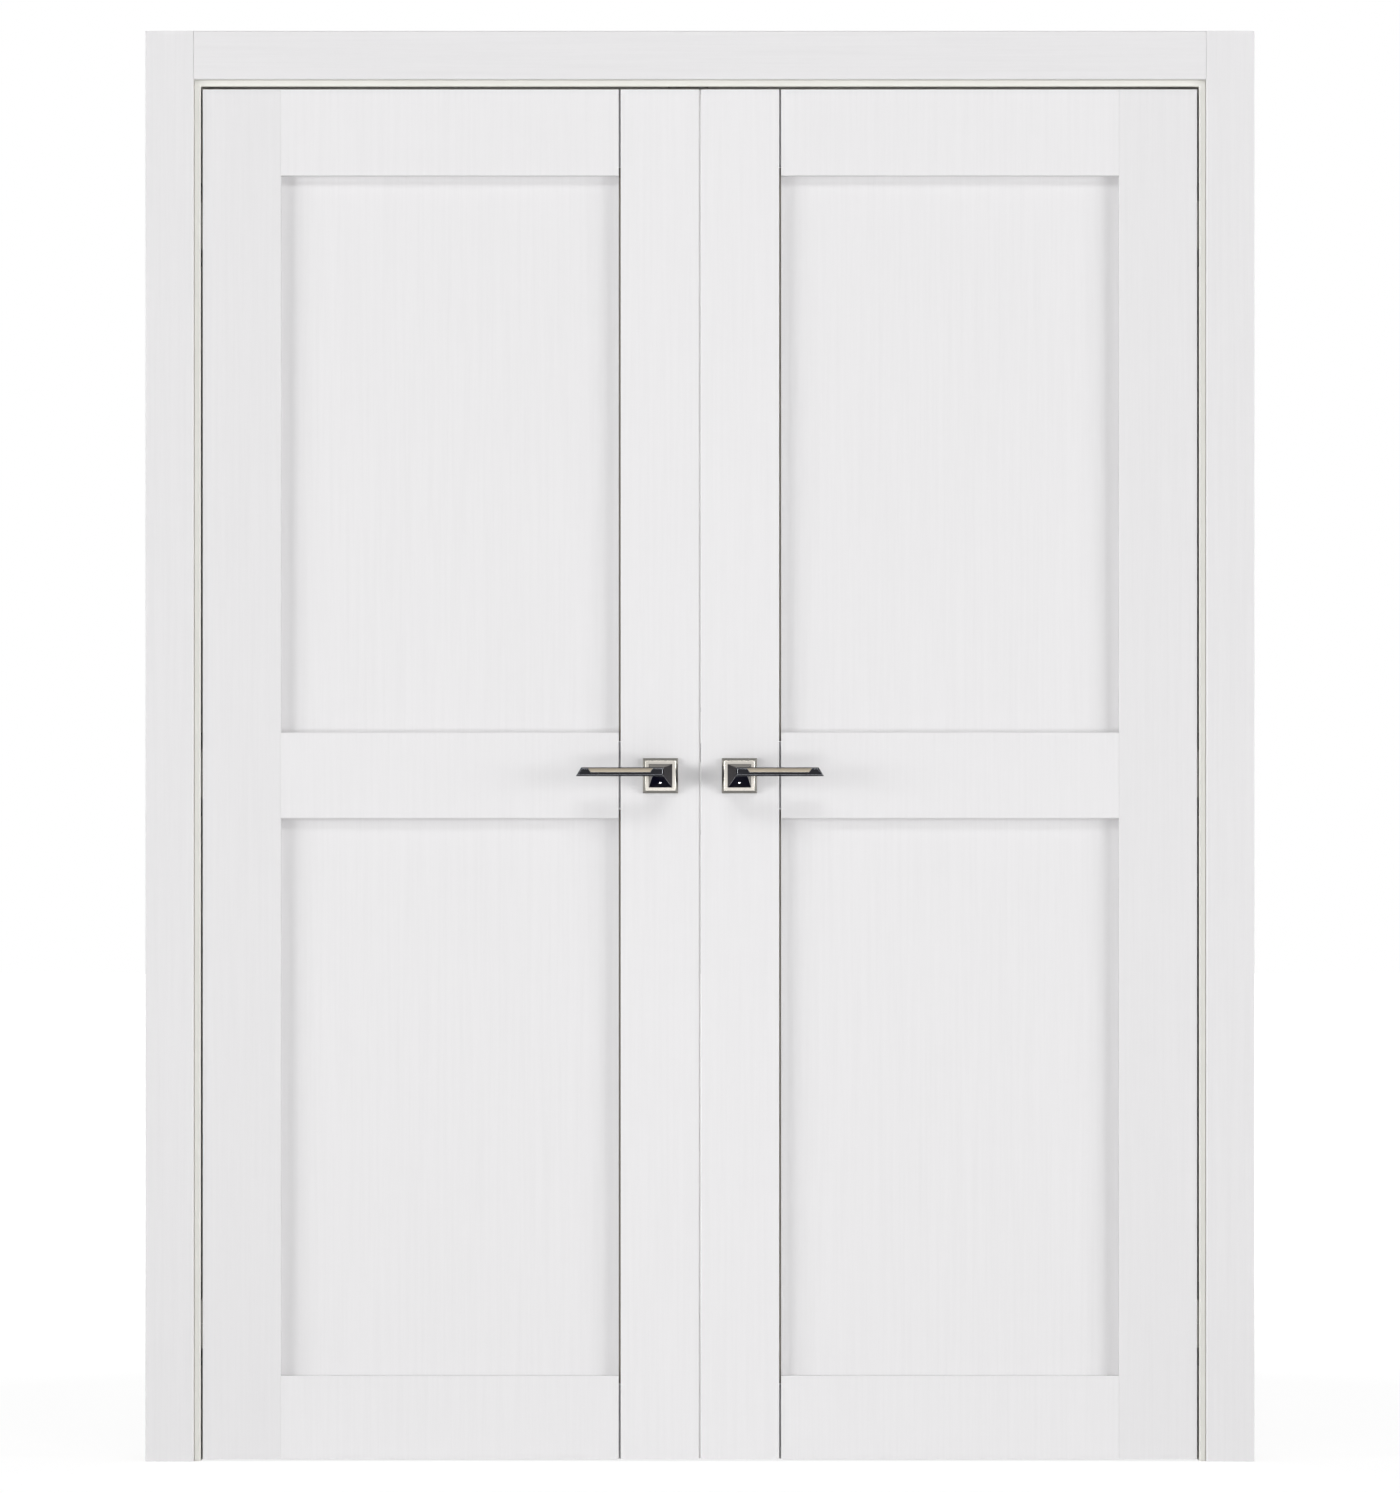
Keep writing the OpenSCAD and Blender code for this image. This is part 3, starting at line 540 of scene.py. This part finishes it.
plate_screw_end = 9 * MM
for plate, faces, body in (("latch_faceplate", "-x", "right_leaf"), ("strike_plate", "+x", "left_leaf"),
                           ("top_flush_bolt_plate", "+x", "left_leaf"),
                           ("bottom_flush_bolt_plate", "+x", "left_leaf")):
    low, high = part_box(plate)
    face_x = high.x if faces == "+x" else low.x
    middle_y = (low.y + high.y) / 2
    places = [(face_x, middle_y, z) for z in (low.z + plate_screw_end, high.z - plate_screw_end)]
    screws(f"{plate}_screws", places, facing[faces], body)
low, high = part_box("head_strike_plate")
places = [(x, (low.y + high.y) / 2, low.z) for x in (low.x + plate_screw_end, high.x - plate_screw_end)]
screws("head_strike_screws", places, facing["-z"], "frame")
bpy.data.objects.remove(screw_master)


# Studio: a pale floor that runs off into a white sky, with large soft lamps in front and behind.
# The camera stands far back, level with the middle of the photograph.
bpy.ops.object.select_all(action="DESELECT")
floor_side = 60.0
bpy.ops.mesh.primitive_plane_add(size=floor_side, location=(0, 0, 0))
floor = bpy.context.active_object
floor.name = "studio_floor"
floor_paint, tree, shader = new_material("matt white studio floor")
shader.inputs["Base Color"].default_value = linear("#cfcfcf")
shader.inputs["Roughness"].default_value = 0.9


def seen_directly(tree):
    """1 where the camera sees a thing straight, in metal or through glass, and 0 for its light alone."""
    rays = add_node(tree, "ShaderNodeLightPath")
    seen = rays.outputs["Is Camera Ray"]
    for kind in ("Is Glossy Ray", "Is Transmission Ray"):
        seen = add_node(tree, "ShaderNodeMath", {"operation": "MAXIMUM"}, {
            0: seen, 1: rays.outputs[kind]}).outputs["Value"]
    return seen


# Near the door the floor takes the shadow, and farther off it glows into the white of the sky.
glow_strength = 1.36
near_share = 0.6
shadow_reach = 2.0
glow_reach = 6.0
place = add_node(tree, "ShaderNodeTexCoord").outputs["Object"]
away = add_node(tree, "ShaderNodeVectorMath", {"operation": "LENGTH"}, {0: place})
fade = add_node(tree, "ShaderNodeMapRange", inputs={
    "Value": away.outputs["Value"], "From Min": shadow_reach, "From Max": glow_reach,
    "To Min": near_share, "To Max": 1.0})
share = add_node(tree, "ShaderNodeMath", {"operation": "MULTIPLY"}, {
    0: seen_directly(tree), 1: fade.outputs["Result"]})
glow = add_node(tree, "ShaderNodeEmission", inputs={"Strength": glow_strength})
blend = add_node(tree, "ShaderNodeMixShader", inputs={
    "Fac": share.outputs["Value"], 1: shader.outputs["BSDF"], 2: glow.outputs["Emission"]})
tree.links.new(blend.outputs["Shader"], tree.nodes["Material Output"].inputs["Surface"])
floor.data.materials.append(floor_paint)

sky_light = 0.17
world = bpy.data.worlds.new("white studio")
bpy.context.scene.world = world
world.use_nodes = True
tree = world.node_tree
strength = add_node(tree, "ShaderNodeMapRange", inputs={
    "Value": seen_directly(tree), "To Min": sky_light, "To Max": 1.0})
tree.links.new(strength.outputs["Result"], tree.nodes["Background"].inputs["Strength"])
tree.nodes["Background"].inputs["Color"].default_value = (1, 1, 1, 1)


def softbox(name, place, tilt, turn, width, height, power):
    """A rectangular soft lamp, hidden from the camera, tilted up from the floor and turned about upright."""
    lamp = bpy.data.lights.new(name, "AREA")
    lamp.shape = "RECTANGLE"
    lamp.size = width
    lamp.size_y = height
    lamp.energy = power
    box = bpy.data.objects.new(name, lamp)
    box.location = place
    box.rotation_euler = (tilt, 0, turn)
    box.visible_camera = False
    bpy.context.scene.collection.objects.link(box)


# The pair in front rakes across the leaves and shades the panels beside the stiles.
# The pair behind lights the back as evenly.
lamp_z = 1.7
for name, x, y, power in (("left_softbox", -9.4, -4.4, 550.0), ("right_softbox", 9.4, -4.4, 550.0),
                          ("left_back_softbox", -6.0, 7.0, 265.0), ("right_back_softbox", 6.0, 7.0, 265.0)):
    softbox(name, (x, y, lamp_z), tilt=math.radians(90), turn=math.atan2(x, -y), width=4.6, height=3.2,
            power=power)

# One above the door's head and one on the floor shade the panels under and over the rails.
softbox("top_softbox", (0, -4.0, 6.0), tilt=math.atan2(4.0, 5.0), turn=0, width=3.5, height=1.5, power=90.0)
softbox("low_softbox", (0, -2.2, 0.1), tilt=math.radians(130), turn=0, width=3.5, height=0.6, power=13.0)

photo_w = 1400
photo_h = 1493
mm_per_pixel = 1.4834
floor_row = 1461.3
centre_column = 699.9
distance = 14.0
view_h = photo_h * mm_per_pixel * MM
camera = bpy.data.cameras.new("studio_camera")
camera.sensor_width = 36.0
camera.lens = camera.sensor_width * distance / view_h
camera.clip_end = 200.0
holder = bpy.data.objects.new("studio_camera", camera)
holder.location = ((photo_w / 2 - centre_column) * mm_per_pixel * MM, -distance,
                   (floor_row - photo_h / 2) * mm_per_pixel * MM)
holder.rotation_euler = (math.radians(90), 0, 0)
bpy.context.scene.collection.objects.link(holder)
bpy.context.scene.camera = holder
bpy.context.scene.view_settings.view_transform = "Standard"
